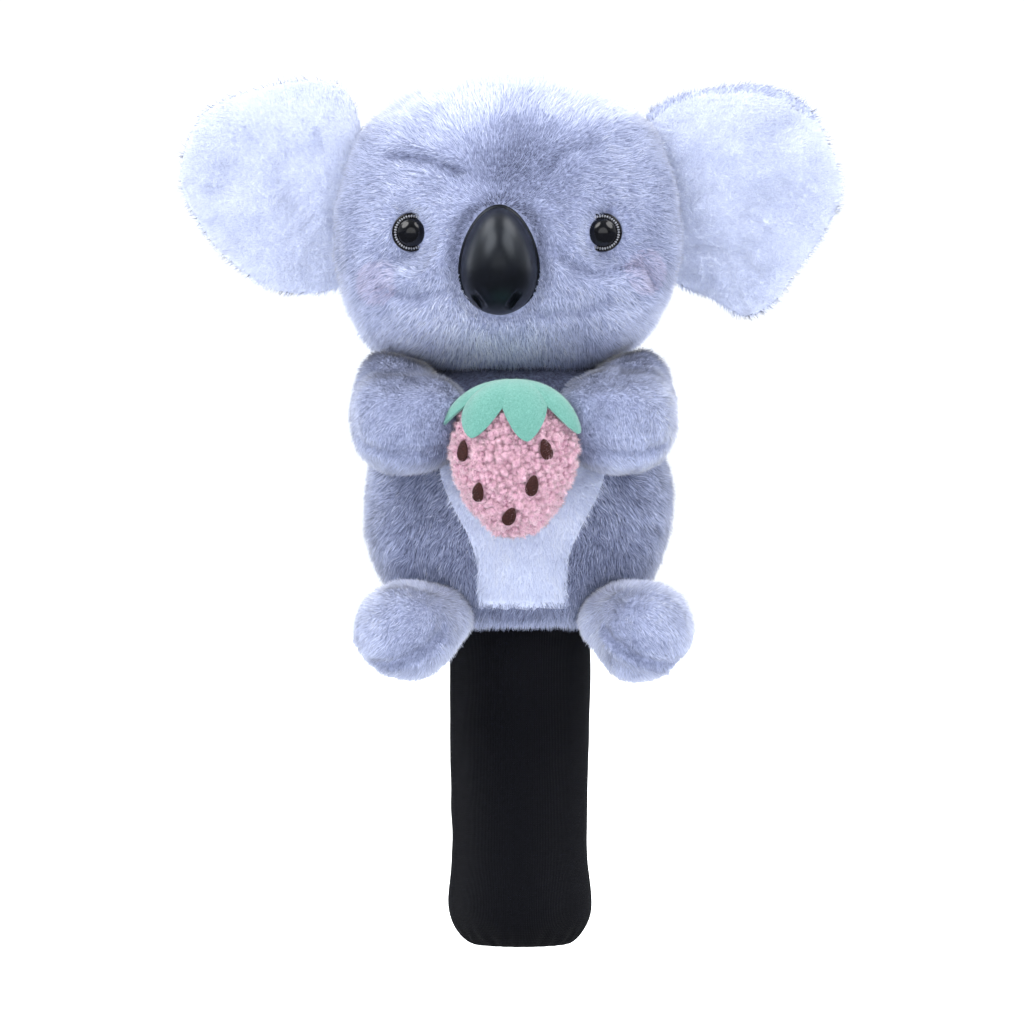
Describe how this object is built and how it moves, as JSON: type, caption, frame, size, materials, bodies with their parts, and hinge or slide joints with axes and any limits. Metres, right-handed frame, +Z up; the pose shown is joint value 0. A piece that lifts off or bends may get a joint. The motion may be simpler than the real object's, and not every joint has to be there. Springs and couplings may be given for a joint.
{
  "type": "driver head cover",
  "caption": "Plush koala holding a strawberry, with a padded pocket for a golf driver's head and a long knitted sleeve for the shaft.",
  "frame": {"origin": "centre of the sleeve's open mouth, at its lower edge", "axes": "+Z up along the club's shaft towards the koala's head, the face looks towards -Y, +X to the viewer's right; pieces called left are on the -X side"},
  "size_m": [0.277, 0.1559, 0.3775],
  "materials": {
    "grey_plush": "soft faux-fur pile, darker at the roots",
    "white_plush": "soft white faux-fur pile",
    "polyester_fill": "loose fibre filling",
    "lining_cloth": "smooth brushed lining",
    "black_plastic": "glossy moulded plastic",
    "silver_ring": "bright beaded foil ring",
    "washer_plastic": "natural moulded plastic",
    "grey_thread": "sewing thread",
    "pink_sherpa": "curly sherpa pile",
    "mint_felt": "pressed felt",
    "brown_thread": "satin-stitched embroidery thread",
    "black_knit": "fine vertical rib knit",
    "elastic_band": "covered elastic"
  },
  "bodies": {
    "torso": {"torso_skin": "grey_plush", "belly_panel": "white_plush", "torso_padding": "polyester_fill", "pocket_lining": "lining_cloth"},
    "neck": {"neck_seam": "grey_thread"},
    "head": {"head_skin": "grey_plush", "head_stuffing": "polyester_fill", "nose": "black_plastic", "nose_washer": "washer_plastic", "eye_left": "black_plastic", "eye_ring_left": "silver_ring", "eye_washer_left": "washer_plastic", "eye_right": "black_plastic", "eye_ring_right": "silver_ring", "eye_washer_right": "washer_plastic"},
    "ear_left": {"ear_front_left": "white_plush", "ear_back_left": "grey_plush", "ear_padding_left": "polyester_fill"},
    "ear_right": {"ear_front_right": "white_plush", "ear_back_right": "grey_plush", "ear_padding_right": "polyester_fill"},
    "arms": {"arm_skin_left": "grey_plush", "arm_stuffing_left": "polyester_fill", "arm_skin_right": "grey_plush", "arm_stuffing_right": "polyester_fill", "strawberry_skin": "pink_sherpa", "strawberry_stuffing": "polyester_fill", "calyx": "mint_felt", "seeds": "brown_thread"},
    "foot_left": {"foot_skin_left": "grey_plush", "foot_stuffing_left": "polyester_fill", "toe_stitches_left": "grey_thread"},
    "foot_right": {"foot_skin_right": "grey_plush", "foot_stuffing_right": "polyester_fill", "toe_stitches_right": "grey_thread"},
    "sleeve": {"sleeve_knit": "black_knit", "cuff_lining": "black_knit", "mouth_elastic": "elastic_band"}
  },
  "joints": [
    {"name": "head_nod", "type": "hinge", "parent": "torso", "child": "neck", "pos_m": [-0.0025, 0.002, 0.217], "axis": [1, 0, 0], "range_deg": [-10, 4], "stiffness_Nm_per_rad": 4},
    {"name": "head_turn", "type": "hinge", "parent": "neck", "child": "head", "pos_m": [-0.0025, 0.002, 0.217], "axis": [0, 0, 1], "range_deg": [-20, 20], "stiffness_Nm_per_rad": 1.5},
    {"name": "ear_fold_left", "type": "hinge", "parent": "head", "child": "ear_left", "pos_m": [-0.08197, 0.004, 0.32678], "axis": [0.2756, 0, 0.9613], "range_deg": [-40, 40], "stiffness_Nm_per_rad": 0.25},
    {"name": "ear_fold_right", "type": "hinge", "parent": "head", "child": "ear_right", "pos_m": [0.07097, 0.004, 0.32678], "axis": [0.2756, 0, -0.9613], "range_deg": [-40, 40], "stiffness_Nm_per_rad": 0.25},
    {"name": "arms_lift", "type": "hinge", "parent": "torso", "child": "arms", "pos_m": [0, -0.022, 0.236], "axis": [-1, 0, 0], "range_deg": [0, 15], "stiffness_Nm_per_rad": 1.6},
    {"name": "foot_flex_left", "type": "hinge", "parent": "torso", "child": "foot_left", "pos_m": [-0.044, -0.026, 0.148], "axis": [-1, 0, 0], "range_deg": [-10, 15], "stiffness_Nm_per_rad": 0.8},
    {"name": "foot_flex_right", "type": "hinge", "parent": "torso", "child": "foot_right", "pos_m": [0.044, -0.026, 0.148], "axis": [-1, 0, 0], "range_deg": [-10, 15], "stiffness_Nm_per_rad": 0.8},
    {"name": "sleeve_bend", "type": "hinge", "parent": "torso", "child": "sleeve", "pos_m": [0, 0, 0.1375], "axis": [1, 0, 0], "range_deg": [-20, 20], "stiffness_Nm_per_rad": 0.8}
  ]
}
